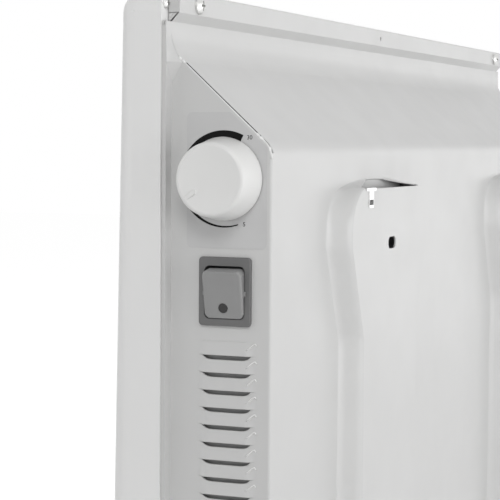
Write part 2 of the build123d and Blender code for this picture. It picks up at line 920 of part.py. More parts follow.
scale_turn = scale_end - scale_start
scale_middle = scale_start + scale_turn / 2
scale_steps = 12
inner_edge = [
    dial_point(
        scale_radius - scale_thick + (scale_thick - scale_thin) * step / scale_steps,
        scale_start + scale_turn * step / scale_steps,
    )
    for step in range(scale_steps + 1)
]
with BuildPart() as dial_scale:
    with BuildSketch(Plane.YZ.offset(label_x)):
        with BuildLine():
            ThreePointArc(
                dial_point(scale_radius, scale_start),
                dial_point(scale_radius, scale_middle),
                dial_point(scale_radius, scale_end),
            )
            Line(dial_point(scale_radius, scale_end), inner_edge[-1])
            Spline(*inner_edge)
            Line(inner_edge[0], dial_point(scale_radius, scale_start))
        make_face()
    extrude(amount=print_sheet)
dial_scale.part.label = "dial_scale"
export_step(dial_scale.part, "parts/dial_scale.step")

# Thermostat body behind the side wall, with the collar that passes through it
dial_plane = along_x(inner_x, dial_depth, dial_z)
collar_reach = casing_sheet + knob_gap
with BuildPart() as thermostat_body:
    with BuildSketch(dial_plane):
        RectangleRounded(thermostat_depth, thermostat_height, thermostat_corner)
    extrude(amount=-thermostat_length)
    with BuildSketch(dial_plane):
        Circle(collar_radius)
    extrude(amount=collar_reach)
    with BuildSketch(dial_plane.offset(collar_reach)):
        Circle(shaft_radius + running_gap)
    extrude(amount=-collar_reach - shaft_bury, mode=Mode.SUBTRACT)
    with BuildSketch(dial_plane):
        with GridLocations(0, thermostat_screw_spacing, 1, 2):
            Circle(small_shank + running_gap)
    extrude(amount=-small_length - screw_end_gap, mode=Mode.SUBTRACT)
thermostat_body.part.label = "thermostat_body"
export_step(thermostat_body.part, "parts/thermostat_body.step")

with BuildPart() as thermostat_screws:
    for level in (-1, 1):
        z = dial_z + level * thermostat_screw_spacing / 2
        with Locations(along_x(half_width, dial_depth, z)):
            add(small_screw)
thermostat_screws.part.label = "thermostat_screws"
export_step(thermostat_screws.part, "parts/thermostat_screws.step")

with BuildPart() as thermostat_shaft:
    with BuildSketch(along_x(inner_x - shaft_bury + running_gap, dial_depth, dial_z)):
        Circle(shaft_radius)
    extrude(amount=shaft_bury + shaft_stand)
    with BuildSketch(along_x(half_width + flat_start, dial_depth, dial_z)):
        with Locations((0, shaft_radius)):
            Rectangle(2 * shaft_radius, 2 * shaft_flat)
    extrude(amount=shaft_stand, mode=Mode.SUBTRACT)
thermostat_shaft.part.label = "thermostat_shaft"
export_step(thermostat_shaft.part, "parts/thermostat_shaft.step")

# Knob: a hollow cap on a hub, with a dished face and a raised pointer at its rim
knob_x = label_x + knob_gap
knob_section = Plane(
    origin=(knob_x, y_at(dial_depth), dial_z), x_dir=(1, 0, 0), z_dir=(0, -1, 0)
)
knob_axis = Axis((knob_x, y_at(dial_depth), dial_z), (1, 0, 0))
shaft_tip = inner_x + running_gap + shaft_stand - knob_x
with BuildPart() as knob:
    with BuildSketch(knob_section):
        with BuildLine():
            Line((0, knob_radius - knob_wall), (0, knob_radius))
            Line((0, knob_radius), (knob_height - knob_edge, knob_face_radius))
            ThreePointArc(
                (knob_height - knob_edge, knob_face_radius),
                (knob_height - 0.3 * knob_edge, knob_face_radius - 0.35 * knob_edge),
                (knob_height, knob_face_radius - knob_edge),
            )
            ThreePointArc(
                (knob_height, knob_face_radius - knob_edge),
                (knob_height - 0.8 * knob_dish, knob_face_radius / 2),
                (knob_height - knob_dish, 0),
            )
            Polyline(
                (knob_height - knob_dish, 0),
                (shaft_tip + flat_gap, 0),
                (shaft_tip + flat_gap, shaft_radius + running_gap),
                (hub_start, shaft_radius + running_gap),
                (hub_start, knob_hub_radius),
                (shaft_tip, knob_hub_radius),
                (shaft_tip, knob_face_radius - 2 * knob_wall),
                (0, knob_radius - knob_wall),
            )
        make_face()
    revolve(axis=knob_axis)
    # Pointer rib
    turn = radians(pointer_angle)
    pointer_plane = Plane(
        origin=(knob_x + knob_height - knob_dish - pointer_sink, y_at(dial_depth), dial_z),
        x_dir=(0, cos(turn), sin(turn)),
        z_dir=(1, 0, 0),
    )
    with BuildSketch(pointer_plane):
        with Locations((knob_face_radius - 0.9 * knob_edge - pointer_length / 2, 0)):
            SlotOverall(pointer_length, pointer_width)
    extrude(amount=pointer_height, taper=pointer_taper)
knob.part.label = "knob"
export_step(knob.part, "parts/knob.step")

# Rocker switch
switch_back_x = half_width - switch_length
pivot = (pivot_x, y_at(switch_depth), pivot_z)
pivot_axis = Axis(pivot, (0, 1, 0))
pivot_section = Plane(origin=pivot, x_dir=(1, 0, 0), z_dir=(0, -1, 0))
switch_face = along_x(bezel_x, switch_depth, opening_z)
rocker_opening_width = rocker_width + 2 * rocker_side_gap
trunnion_half = housing_width / 2 - switch_wall / 2
lens_plane = along_x(pivot_x + rocker_crown, switch_depth, pivot_z - lens_drop)
with BuildPart() as switch_body:
    with BuildSketch(along_x(half_width, switch_depth, switch_z)):
        RectangleRounded(bezel_width, bezel_height, bezel_corner)
    extrude(amount=bezel_stand)
    fillet(switch_body.faces().sort_by(Axis.X)[-1].edges(), bezel_edge)
    with BuildSketch(along_x(half_width, switch_depth, opening_z)):
        Rectangle(housing_width, housing_height)
    extrude(amount=-switch_length)
    with BuildSketch(switch_face):
        RectangleRounded(rocker_opening_width, rocker_opening, opening_corner)
    extrude(amount=-switch_floor, mode=Mode.SUBTRACT)
    with BuildSketch(pivot_section):
        Circle(trunnion_radius + running_gap)
    extrude(amount=trunnion_half + running_gap, both=True, mode=Mode.SUBTRACT)
switch_body.part.label = "switch_body"
export_step(switch_body.part, "parts/switch_body.step")

with BuildPart() as rocker_form:
    with BuildSketch(along_x(pivot_x - rocker_back, switch_depth, pivot_z)):
        RectangleRounded(rocker_width, 2 * rocker_end_radius, rocker_corner)
    extrude(amount=rocker_back + rocker_crown)
    fillet(rocker_form.faces().sort_by(Axis.X)[-1].edges(), rocker_edge)
    with BuildSketch(pivot_section):
        Circle(rocker_end_radius)
    extrude(amount=rocker_width, both=True, mode=Mode.INTERSECT)
    with BuildSketch(pivot_section):
        Circle(trunnion_radius)
    extrude(amount=trunnion_half, both=True)
    with BuildSketch(lens_plane):
        Circle(lens_radius + running_gap)
    extrude(amount=-lens_reach, mode=Mode.SUBTRACT)
with BuildPart() as rocker:
    add(rocker_form.part.rotate(pivot_axis, rocker_tilt))
rocker.part.label = "rocker"
export_step(rocker.part, "parts/rocker.step")

with BuildPart() as lens_form:
    with BuildSketch(lens_plane.offset(lens_proud)):
        Circle(lens_radius)
    extrude(amount=running_gap - lens_reach - lens_proud)
    fillet(lens_form.faces().sort_by(Axis.X)[-1].edges(), lens_proud * 0.9)
with BuildPart() as pilot_lens:
    add(lens_form.part.rotate(pivot_axis, rocker_tilt))
pilot_lens.part.label = "pilot_lens"
export_step(pilot_lens.part, "parts/pilot_lens.step")

# Lamp on the floor of the switch, under the lens
lamp_x = bezel_x - switch_floor + lamp_radius
lamp_centre = (lamp_x, y_at(switch_depth), pivot_z - lens_drop)
with BuildPart() as pilot_lamp:
    with BuildSketch(Plane(origin=lamp_centre, z_dir=(0, 1, 0))):
        Circle(lamp_radius)
    extrude(amount=rocker_width * 0.4, both=True)
pilot_lamp.part.label = "pilot_lamp"
export_step(pilot_lamp.part, "parts/pilot_lamp.step")

switch_blades = [
    (y_at(switch_depth) + side * blade_pitch_y / 2, switch_z + level * blade_pitch_z / 2)
    for side in (-1, 1)
    for level in (-1, 1)
]
with BuildPart() as switch_terminals:
    for y, z in switch_blades:
        add(blade(Plane(origin=(switch_back_x, y, z), x_dir=(0, 1, 0), z_dir=(-1, 0, 0))))
switch_terminals.part.label = "switch_terminals"
export_step(switch_terminals.part, "parts/switch_terminals.step")

thermostat_back_x = inner_x - thermostat_length
with BuildPart() as thermostat_terminals:
    for level in (-1, 1):
        z = dial_z + level * blade_pitch_z / 2
        back = (thermostat_back_x, y_at(dial_depth), z)
        add(blade(Plane(origin=back, x_dir=(0, 1, 0), z_dir=(-1, 0, 0))))
thermostat_terminals.part.label = "thermostat_terminals"
export_step(thermostat_terminals.part, "parts/thermostat_terminals.step")

# Plates across the casing that carry the element
block_x = divider_x + casing_sheet
block_screw_points = [
    (y_at(block_depth) + side * (block_width / 2 - small_head_radius - 1), block_z - block_screw_drop)
    for side in (-1, 1)
]
with BuildPart() as divider_plate:
    add(cross_plate(divider_x, 1))
    with BuildSketch(Plane.YZ.offset(divider_x)):
        with Locations((y_at(earth_depth), earth_z), *block_screw_points):
            Circle(small_shank + running_gap)
    extrude(amount=casing_sheet, mode=Mode.SUBTRACT)
divider_plate.part.label = "divider_plate"
export_step(divider_plate.part, "parts/divider_plate.step")

with BuildPart() as element_bracket:
    add(cross_plate(-divider_x - casing_sheet, -1))
element_bracket.part.label = "element_bracket"
export_step(element_bracket.part, "parts/element_bracket.step")

# Baffle between the element and the rear panel
cutout_rivet_points = [
    (cutout_x - cutout_rivet_offset, cutout_z),
    (cutout_x + cutout_rivet_offset, cutout_z),
]
with BuildPart() as air_baffle:
    with BuildSketch(ahead(baffle_depth)):
        Rectangle(2 * divider_x, 2 * baffle_half_height)
    extrude(amount=casing_sheet)
    for side in (-1, 1):
        lip_x = side * (divider_x - casing_sheet / 2)
        with Locations((lip_x, y_at(baffle_depth + baffle_lip / 2), 0)):
            Box(casing_sheet, baffle_lip, 2 * baffle_half_height)
    with BuildSketch(Plane.YZ):
        with Locations(*rivet_points):
            Circle(rivet_radius + running_gap)
    extrude(amount=divider_x, both=True, mode=Mode.SUBTRACT)
    with BuildSketch(ahead(baffle_depth)):
        with Locations(*cutout_rivet_points):
            Circle(cutout_rivet_radius + running_gap)
    extrude(amount=casing_sheet, mode=Mode.SUBTRACT)
    with BuildSketch(Plane.YZ.offset(divider_x)):
        with Locations(*block_screw_points):
            Circle(small_shank + flat_gap)
    extrude(amount=-casing_sheet, mode=Mode.SUBTRACT)
air_baffle.part.label = "air_baffle"
export_step(air_baffle.part, "parts/air_baffle.step")

with BuildPart() as rivet:
    with BuildSketch():
        Circle(rivet_radius)
    extrude(amount=casing_sheet, both=True)
    for direction in (-1, 1):
        with BuildSketch(Plane.XY.offset(direction * casing_sheet)):
            Circle(rivet_head)
        extrude(amount=direction * rivet_head_height, taper=30)

with BuildPart() as baffle_rivets:
    for side in (-1, 1):
        for y, z in rivet_points:
            with Locations(Plane(origin=(side * divider_x, y, z), z_dir=(1, 0, 0))):
                add(rivet.part)
baffle_rivets.part.label = "baffle_rivets"
export_step(baffle_rivets.part, "parts/baffle_rivets.step")

# Heating element: an aluminium star section on a sheathed rod
element_plane = along_x(-element_half_length, element_depth, element_z)
with BuildPart() as element_core:
    with BuildSketch(element_plane):
        Circle(element_hub)
        for arm_angle in (element_spread, -element_spread, 180 - element_spread, element_spread - 180):
            with Locations(Rotation(0, 0, arm_angle)):
                with Locations((element_arm / 2, 0)):
                    SlotOverall(element_arm, element_arm_sheet)
        Circle(rod_radius + running_gap, mode=Mode.SUBTRACT)
    extrude(amount=2 * element_half_length)
element_core.part.label = "element_core"
export_step(element_core.part, "parts/element_core.step")

rod_half = element_half_length + rod_overrun
with BuildPart() as element_rod:
    with BuildSketch(along_x(-rod_half, element_depth, element_z)):
        Circle(rod_radius)
    extrude(amount=2 * rod_half)
    with BuildSketch(along_x(-rod_half - stud_length, element_depth, element_z)):
        Circle(stud_radius)
    extrude(amount=2 * (rod_half + stud_length))
element_rod.part.label = "element_rod"
export_step(element_rod.part, "parts/element_rod.step")

for name, side in (("right", 1), ("left", -1)):
    bush_x = side * (divider_x + casing_sheet / 2)
    with BuildPart() as element_bush:
        with BuildSketch(along_x(bush_x, element_depth, element_z)):
            Circle(bush_radius)
        extrude(amount=bush_length / 2, both=True)
        with BuildSketch(along_x(bush_x, element_depth, element_z)):
            Circle(bush_radius + 1)
            Circle(bush_radius - bush_groove, mode=Mode.SUBTRACT)
        extrude(amount=casing_sheet / 2 + running_gap, both=True, mode=Mode.SUBTRACT)
        with BuildSketch(along_x(bush_x, element_depth, element_z)):
            Circle(rod_radius + running_gap)
        extrude(amount=bush_length / 2, both=True, mode=Mode.SUBTRACT)
    element_bush.part.label = f"element_bush_{name}"
    export_step(element_bush.part, f"parts/element_bush_{name}.step")

# Thermal cut-out riveted to the baffle
cutout_plane = Plane(
    origin=(cutout_x, y_at(baffle_depth + casing_sheet), cutout_z),
    x_dir=(1, 0, 0),
    z_dir=(0, -1, 0),
)
with BuildPart() as thermal_cutout:
    with BuildSketch(cutout_plane):
        SlotOverall(cutout_plate, cutout_radius)
        with Locations((-cutout_rivet_offset, 0), (cutout_rivet_offset, 0)):
            Circle(cutout_rivet_radius + running_gap, mode=Mode.SUBTRACT)
    extrude(amount=cutout_foot)
    with BuildSketch(cutout_plane):
        Circle(cutout_radius)
    extrude(amount=cutout_height)
    fillet(thermal_cutout.faces().sort_by(Axis.Y)[0].edges(), cutout_edge)
thermal_cutout.part.label = "thermal_cutout"
export_step(thermal_cutout.part, "parts/thermal_cutout.step")

with BuildPart() as cutout_rivets:
    with BuildSketch(ahead(baffle_depth)):
        with Locations(*cutout_rivet_points):
            Circle(cutout_rivet_radius)
    extrude(amount=casing_sheet + cutout_foot)
    for depth, direction in ((baffle_depth, -1), (baffle_depth + casing_sheet + cutout_foot, 1)):
        with BuildSketch(ahead(depth)):
            with Locations(*cutout_rivet_points):
                Circle(2 * cutout_rivet_radius)
        extrude(amount=direction * rivet_head_height, taper=30)
cutout_rivets.part.label = "cutout_rivets"
export_step(cutout_rivets.part, "parts/cutout_rivets.step")

cutout_blade_depth = baffle_depth + casing_sheet + cutout_height / 2
with BuildPart() as cutout_terminals:
    for side in (-1, 1):
        foot = (cutout_x + side * cutout_radius, y_at(cutout_blade_depth), cutout_z)
        add(blade(Plane(origin=foot, x_dir=(0, 1, 0), z_dir=(side, 0, 0))))
cutout_terminals.part.label = "cutout_terminals"
export_step(cutout_terminals.part, "parts/cutout_terminals.step")

# Terminal block on the divider
block_face_x = block_x + block_length
pole_points = [
    (y_at(block_depth) + step * pole_pitch, block_z)
    for step in (-1, 0, 1)
]
with BuildPart() as terminal_block:
    with BuildSketch(along_x(block_x, block_depth, block_z)):
        RectangleRounded(block_width, block_height, block_corner)
    extrude(amount=block_length)
    with BuildSketch(Plane.YZ.offset(block_face_x)):
        with Locations(*pole_points):
            Circle(pole_radius + 2 * running_gap)
    extrude(amount=-pole_depth, mode=Mode.SUBTRACT)
    with BuildSketch(Plane.YZ.offset(block_x)):
        with Locations(*block_screw_points):
            Circle(small_shank + running_gap)
    extrude(amount=block_length, mode=Mode.SUBTRACT)
    with BuildSketch(Plane.YZ.offset(block_x + block_screw_seat)):
        with Locations(*block_screw_points):
            Circle(small_head_radius + flat_gap)
    extrude(amount=block_length, mode=Mode.SUBTRACT)
terminal_block.part.label = "terminal_block"
export_step(terminal_block.part, "parts/terminal_block.step")

with BuildPart() as terminal_screws:
    with BuildSketch(Plane.YZ.offset(block_face_x - pole_depth)):
        with Locations(*pole_points):
            Circle(pole_radius)
    extrude(amount=pole_depth - pole_sink)
    with BuildSketch(Plane.YZ.offset(block_face_x - pole_sink)):
        with Locations(*pole_points):
            Rectangle(2 * pole_radius + pole_slot_width, pole_slot_width)
    extrude(amount=-pole_slot_depth, mode=Mode.SUBTRACT)
terminal_screws.part.label = "terminal_screws"
export_step(terminal_screws.part, "parts/terminal_screws.step")

with BuildPart() as block_screws:
    for y, z in block_screw_points:
        with Locations(along_x(block_x + block_screw_seat, -y - wall_standoff, z)):
            add(small_screw)
block_screws.part.label = "block_screws"
export_step(block_screws.part, "parts/block_screws.step")

# Earth screw and tag on the divider
with BuildPart() as earth_tag:
    with BuildSketch(along_x(block_x, earth_depth, earth_z)):
        Circle(tag_radius)
        with Locations((tag_length / 2, 0)):
            Rectangle(tag_length, blade_width * 0.8)
        Circle(small_shank + 2 * running_gap, mode=Mode.SUBTRACT)
    extrude(amount=tag_sheet)
earth_tag.part.label = "earth_tag"
export_step(earth_tag.part, "parts/earth_tag.step")

with BuildPart() as earth_screw:
    with Locations(along_x(block_x + tag_sheet, earth_depth, earth_z)):
        add(small_screw)
earth_screw.part.label = "earth_screw"
export_step(earth_screw.part, "parts/earth_screw.step")

# Cord inlet in the lower slope
gland_plane = slope_plane(-1, gland_x)
with BuildPart() as cable_gland:
    with BuildSketch(gland_plane):
        RegularPolygon(gland_radius + 1, 6)
    extrude(amount=gland_head)
    with BuildSketch(gland_plane):
        Circle(gland_thread)
    extrude(amount=gland_head - gland_length)
    with BuildSketch(gland_plane.offset(gland_head)):
        Circle(gland_bore)
    extrude(amount=-gland_length, mode=Mode.SUBTRACT)
cable_gland.part.label = "cable_gland"
export_step(cable_gland.part, "parts/cable_gland.step")

with BuildPart() as gland_nut:
    with BuildSketch(gland_plane.offset(-casing_sheet)):
        RegularPolygon(gland_nut_radius, 6)
        Circle(gland_thread + running_gap, mode=Mode.SUBTRACT)
    extrude(amount=-gland_nut_height)
gland_nut.part.label = "gland_nut"
export_step(gland_nut.part, "parts/gland_nut.step")

# Grommets in the two plates, and the leads
for name, side in (("right", 1), ("left", -1)):
    with BuildPart() as wire_grommet:
        middle = along_x(side * (divider_x + casing_sheet / 2), wire_depth, wire_z)
        with BuildSketch(middle):
            Circle(wire_hole + grommet_groove)
        extrude(amount=grommet_length / 2, both=True)
        with BuildSketch(middle):
            Circle(wire_hole + 2 * grommet_groove)
            Circle(wire_hole - running_gap, mode=Mode.SUBTRACT)
        extrude(amount=casing_sheet / 2 + running_gap, both=True, mode=Mode.SUBTRACT)
        with BuildSketch(middle):
            Circle(grommet_bore)
        extrude(amount=grommet_length / 2, both=True, mode=Mode.SUBTRACT)
    wire_grommet.part.label = f"wire_grommet_{name}"
    export_step(wire_grommet.part, f"parts/wire_grommet_{name}.step")

block_top = block_z + block_height / 2
switch_tip = switch_back_x - blade_length
thermostat_tip = thermostat_back_x - blade_length
cutout_tip = cutout_radius + blade_length
stud_tip = rod_half + stud_length
live_y = y_at(switch_depth) - blade_pitch_y / 2
switched_y = y_at(switch_depth) + blade_pitch_y / 2
low_blade_z = switch_z - blade_pitch_z / 2
high_blade_z = switch_z + blade_pitch_z / 2
block_y = y_at(block_depth)
dial_y = y_at(dial_depth)
stud_y = y_at(element_depth)
cutout_y = y_at(cutout_blade_depth)
hole_y = y_at(wire_depth)
lead_routes = {
    "live_lead": [
        (lead_x, block_y - pole_pitch, block_top),
        (lead_x, block_y - pole_pitch, block_top + 4 * lead_run),
        (switch_tip - lead_run, live_y, low_blade_z - lead_run),
        (switch_tip - lead_run, live_y, low_blade_z),
        (switch_tip, live_y, low_blade_z),
    ],
    "switched_lead": [
        (switch_tip, switched_y, high_blade_z),
        (switch_tip - lead_run, switched_y, high_blade_z),
        (switch_tip - lead_run, dial_y, dial_z - blade_pitch_z / 2),
        (thermostat_tip, dial_y, dial_z - blade_pitch_z / 2),
    ],
    "element_lead": [
        (thermostat_tip, dial_y, dial_z + blade_pitch_z / 2),
        (thermostat_tip - lead_run, dial_y, dial_z + blade_pitch_z / 2),
        (thermostat_tip - lead_run, dial_y + lead_dip, dial_z - 2 * lead_run),
        (thermostat_tip - lead_run, dial_y + lead_dip + 1, element_z + 3 * lead_run),
        (stud_tip + lead_run, stud_y, element_z + lead_run),
        (stud_tip + lead_run, stud_y, element_z),
        (stud_tip, stud_y, element_z),
    ],
    "neutral_lead": [
        (lead_x, block_y, block_top),
        (lead_x, block_y, block_top + lead_run),
        (lead_x, block_y + 2, block_top + 2 * lead_run),
        (lead_x, block_y + 4, wire_z - 2 * lead_run),
        (lead_x, hole_y, wire_z),
        (divider_x - lead_run, hole_y, wire_z),
        (divider_x - 3 * lead_run, cutout_y, cutout_z),
        (cutout_x + cutout_tip, cutout_y, cutout_z),
    ],
    "cutout_lead": [
        (cutout_x - cutout_tip, cutout_y, cutout_z),
        (3 * lead_run - divider_x, cutout_y, cutout_z),
        (lead_run - divider_x, hole_y, wire_z),
        (-divider_x - lead_run, hole_y, wire_z),
        (-stud_tip - lead_run, stud_y, element_z + 2 * lead_run),
        (-stud_tip - lead_run, stud_y, element_z),
        (-stud_tip, stud_y, element_z),
    ],
    "earth_lead": [
        (lead_x, block_y + pole_pitch, block_top),
        (lead_x, block_y + pole_pitch, earth_z),
        (block_x + tag_sheet, block_y + pole_pitch, earth_z),
    ],
}
for name, route in lead_routes.items():
    with BuildPart() as lead:
        with BuildLine() as path:
            FilletPolyline(*route, radius=lead_bend)
        with BuildSketch(Plane(origin=path.line @ 0, z_dir=path.line % 0)):
            Circle(lead_radius)
        sweep()
    lead.part.label = name
    export_step(lead.part, f"parts/{name}.step")
    run = path.wire().length
    print(name, round(run, 1), "mm, volume over run times section",
          round(lead.part.volume / (run * pi * lead_radius**2), 4))
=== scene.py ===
# %% [markdown]
# # Wall panel convector heater
# The heater hangs on a wall with its back to us, and we stand behind its right-hand end.
# Its solids are already modelled at their real size. This file dresses them: it gives
# every surface its finish, adds the small printed and welded details, and sets the
# camera, the lamps and the floor.

# %% Load the model
import json
from math import cos, pi, radians, sin, sqrt, tan

import bmesh
import bpy
from mathutils import Matrix, Vector

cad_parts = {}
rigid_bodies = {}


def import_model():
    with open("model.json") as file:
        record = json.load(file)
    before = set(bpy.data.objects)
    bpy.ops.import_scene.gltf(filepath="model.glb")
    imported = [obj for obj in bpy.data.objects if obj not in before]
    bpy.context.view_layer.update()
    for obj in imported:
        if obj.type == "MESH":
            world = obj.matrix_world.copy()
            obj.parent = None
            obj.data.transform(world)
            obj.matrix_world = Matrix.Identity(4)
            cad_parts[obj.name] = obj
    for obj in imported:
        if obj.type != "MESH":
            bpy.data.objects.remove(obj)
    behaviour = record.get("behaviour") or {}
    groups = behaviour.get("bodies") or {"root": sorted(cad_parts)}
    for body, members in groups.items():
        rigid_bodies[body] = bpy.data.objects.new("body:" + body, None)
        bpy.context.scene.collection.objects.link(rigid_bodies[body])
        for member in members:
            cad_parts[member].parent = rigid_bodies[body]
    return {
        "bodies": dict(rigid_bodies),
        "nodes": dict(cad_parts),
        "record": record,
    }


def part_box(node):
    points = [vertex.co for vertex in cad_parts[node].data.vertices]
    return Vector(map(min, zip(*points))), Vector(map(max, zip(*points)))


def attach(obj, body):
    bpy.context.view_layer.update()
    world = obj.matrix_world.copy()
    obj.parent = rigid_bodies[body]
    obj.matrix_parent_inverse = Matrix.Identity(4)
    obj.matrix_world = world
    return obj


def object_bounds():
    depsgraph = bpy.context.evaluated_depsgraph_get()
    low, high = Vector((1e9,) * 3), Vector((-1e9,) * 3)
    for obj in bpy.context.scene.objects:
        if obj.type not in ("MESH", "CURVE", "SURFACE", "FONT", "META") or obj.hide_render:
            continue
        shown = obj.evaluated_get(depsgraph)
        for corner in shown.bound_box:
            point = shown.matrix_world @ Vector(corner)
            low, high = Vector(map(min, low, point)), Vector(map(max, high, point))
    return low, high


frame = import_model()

cad_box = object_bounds()
bodies = frame["bodies"]
nodes = frame["nodes"]
scene = bpy.context.scene
MM = 0.001
print("nodes:", len(nodes), "bodies:", sorted(bodies))

# %% [markdown]
# ## Camera
# The camera stands about 0.77 m from the dial, a little higher than it, and looks past the
# end of the heater along its back. A long lens keeps the upright edges almost parallel.
# The place is written in metres in the heater's own frame, with the turn, the tilt and
# the roll as plain angles, so that each can be corrected by itself.

# %% Camera
CAMERA_PLACE = Vector((0.98696, 0.27525, 0.13050))
CAMERA_AZIMUTH = radians(112.723)
CAMERA_TILT = radians(3.545)
CAMERA_ROLL = radians(0.352)
LENS_MM = 125.14
SENSOR_MM = 36.0

camera_data = bpy.data.cameras.new("camera")
camera_data.sensor_width = SENSOR_MM
camera_data.lens = LENS_MM
camera_data.clip_start = 0.01
camera_data.clip_end = 50.0
camera = bpy.data.objects.new("camera", camera_data)
scene.collection.objects.link(camera)
level = Vector((-sin(CAMERA_AZIMUTH), cos(CAMERA_AZIMUTH), 0))
ahead = level * cos(CAMERA_TILT) - Vector((0, 0, sin(CAMERA_TILT)))
level_right = ahead.cross(Vector((0, 0, 1))).normalized()
level_up = level_right.cross(ahead)
right = level_right * cos(CAMERA_ROLL) + level_up * sin(CAMERA_ROLL)
up = right.cross(ahead)
turn = Matrix((right, up, -ahead)).transposed()
camera.matrix_world = Matrix.Translation(CAMERA_PLACE) @ turn.to_4x4()
scene.camera = camera
print("camera height:", round(CAMERA_PLACE.z, 3), "m")

# %% [markdown]
# ## World and floor
# The room is a plain white studio. The world is white to the camera, to reflections and
# through glass, and dimmer as a light. That gives a clean background without pouring
# extra light on the paint, and each of the two can be set by itself. The floor could be
# left out, but a real sheet under the heater catches its shadow in the other views.

# %% World
AMBIENT = 0.34
ROOM_WHITE = 1.0


def seen_directly(tree):
    """Socket that is 1 for camera, glossy and transmission rays, and 0 for all others."""
    path = tree.nodes.new("ShaderNodeLightPath")
    first = tree.nodes.new("ShaderNodeMath")
    first.operation = "MAXIMUM"
    second = tree.nodes.new("ShaderNodeMath")
    second.operation = "MAXIMUM"
    tree.links.new(path.outputs["Is Camera Ray"], first.inputs[0])
    tree.links.new(path.outputs["Is Glossy Ray"], first.inputs[1])
    tree.links.new(first.outputs[0], second.inputs[0])
    tree.links.new(path.outputs["Is Transmission Ray"], second.inputs[1])
    return second.outputs[0]


world = bpy.data.worlds.new("studio")
scene.world = world
world.use_nodes = True
tree = world.node_tree
tree.nodes.clear()
world_out = tree.nodes.new("ShaderNodeOutputWorld")
room_light = tree.nodes.new("ShaderNodeBackground")
room_light.inputs["Color"].default_value = (1, 1, 1, 1)
room_light.inputs["Strength"].default_value = AMBIENT
room_white = tree.nodes.new("ShaderNodeBackground")
room_white.inputs["Color"].default_value = (1, 1, 1, 1)
room_white.inputs["Strength"].default_value = ROOM_WHITE
room_mix = tree.nodes.new("ShaderNodeMixShader")
tree.links.new(seen_directly(tree), room_mix.inputs[0])
tree.links.new(room_light.outputs[0], room_mix.inputs[1])
tree.links.new(room_white.outputs[0], room_mix.inputs[2])
tree.links.new(room_mix.outputs[0], world_out.inputs[0])

# %% Floor
FLOOR_SIZE = 12.0
FLOOR_GLOW = 0.70
FLOOR_GAP = 0.5 * MM
FLOOR_TONE = 0.86

floor_z = cad_box[0][2] - FLOOR_GAP
floor_mesh = bpy.data.meshes.new("floor")
half = FLOOR_SIZE / 2
corners = [
    (x * half, y * half, floor_z) for x, y in ((-1, -1), (1, -1), (1, 1), (-1, 1))
]
floor_mesh.from_pydata(corners, [], [(0, 1, 2, 3)])
floor = bpy.data.objects.new("floor", floor_mesh)
scene.collection.objects.link(floor)

floor_finish = bpy.data.materials.new("pale_floor")
floor_finish.use_nodes = True
tree = floor_finish.node_tree
tree.nodes.clear()
floor_out = tree.nodes.new("ShaderNodeOutputMaterial")
floor_matt = tree.nodes.new("ShaderNodeBsdfDiffuse")
floor_matt.inputs["Color"].default_value = (FLOOR_TONE, FLOOR_TONE, FLOOR_TONE, 1)
floor_white = tree.nodes.new("ShaderNodeEmission")
floor_white.inputs["Strength"].default_value = FLOOR_GLOW
floor_none = tree.nodes.new("ShaderNodeEmission")
floor_none.inputs["Strength"].default_value = 0.0
floor_mix = tree.nodes.new("ShaderNodeMixShader")
floor_sum = tree.nodes.new("ShaderNodeAddShader")
tree.links.new(seen_directly(tree), floor_mix.inputs[0])
tree.links.new(floor_none.outputs[0], floor_mix.inputs[1])
tree.links.new(floor_white.outputs[0], floor_mix.inputs[2])
tree.links.new(floor_matt.outputs[0], floor_sum.inputs[0])
tree.links.new(floor_mix.outputs[0], floor_sum.inputs[1])
tree.links.new(floor_sum.outputs[0], floor_out.inputs[0])
floor_mesh.materials.append(floor_finish)
print("floor at z", round(floor_z, 4))

# %% [markdown]
# ## Lamps
# The rear panel is the brightest face, the slopes come next and the end wall is darker.
# So the main light stands straight behind the heater and a little below its middle, which
# lights the upright panel more than the slopes. A small one high beside the end wall
# throws the knob's shadow. Of two faint wide ones, one fills in from the front and the
# other stands beyond the far end and gives the panel its sheen. Their power is worked
# out from how bright a white card at the heater should look, so that colours come out as
# they are written.

# %% Lamps
HEATER_MIDDLE = Vector((0.2, -0.03, 0.05))


def soft_lamp(name, direction, distance, size, level):
    """Square lamp that faces the heater and gives a white card this level."""
    data = bpy.data.lights.new(name, "AREA")
    data.shape = "SQUARE"
    data.size = size
    data.energy = level * pi ** 2 * distance ** 2
    lamp = bpy.data.objects.new(name, data)
    scene.collection.objects.link(lamp)
    away = Vector(direction).normalized()
    lamp.location = HEATER_MIDDLE + away * distance
    lamp.rotation_euler = away.to_track_quat("Z", "Y").to_euler()
    print(name, "power", round(data.energy, 1), "W")
    return lamp


soft_lamp("key_lamp", (0.0, 0.99, -0.12), 1.3, 1.3, 0.76)
soft_lamp("high_lamp", (0.77, 0.27, 0.58), 1.6, 0.5, 0.26)
soft_lamp("front_lamp", (0.5, -0.8, 0.2), 2.2, 1.4, 0.12)
soft_lamp("far_lamp", (-0.9, 0.42, -0.05), 2.2, 1.4, 0.09)
scene.view_settings.view_transform = "Standard"

# %% [markdown]
# ## Finishes
# Every finish starts from the same shader and gets its own detail from noise in the
# heater's own space, in real sizes. Image textures could do it too, but noise has no
# seams, needs no unwrapping and stays sharp in a close-up. Values that are the same all
# over a surface are set on the shader itself.

# %% A start for every finish
FINISHES = {}
NOISE_LOW, NOISE_HIGH = 0.3, 0.7
BEVEL_SAMPLES = 4


